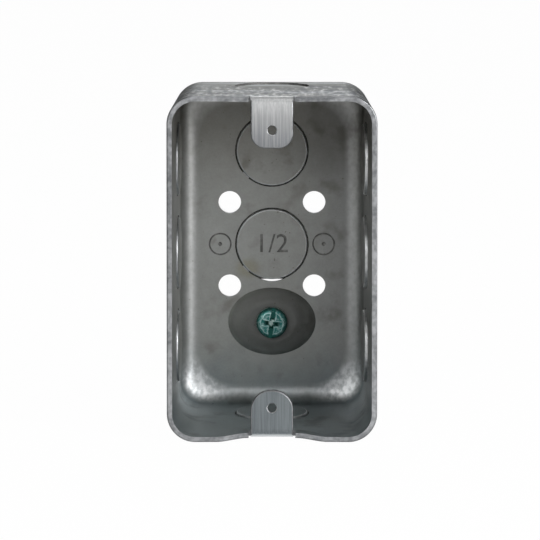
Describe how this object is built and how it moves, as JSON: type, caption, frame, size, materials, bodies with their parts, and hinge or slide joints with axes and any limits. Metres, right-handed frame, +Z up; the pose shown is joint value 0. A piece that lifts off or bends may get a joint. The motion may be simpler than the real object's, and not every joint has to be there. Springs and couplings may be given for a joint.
{
  "type": "electrical utility box",
  "caption": "Drawn steel electrical utility box with knockouts in its back and walls, device ears and a green ground screw on a raised pad.",
  "frame": {"origin": "middle of the lower end, on the surface that the box stands on, at half its depth", "axes": "+Z up along the box's length, -Y out of the open front, +X to the right seen from the front"},
  "size_m": [0.0626, 0.054, 0.1039],
  "materials": {
    "galvanised_steel": "dull galvanised sheet steel with fine drawing marks and bright worn edges",
    "green_screw_finish": "green dyed zinc plating, satin"
  },
  "bodies": {
    "root": {"box_body": "galvanised_steel", "ground_screw": "green_screw_finish"}
  },
  "joints": []
}
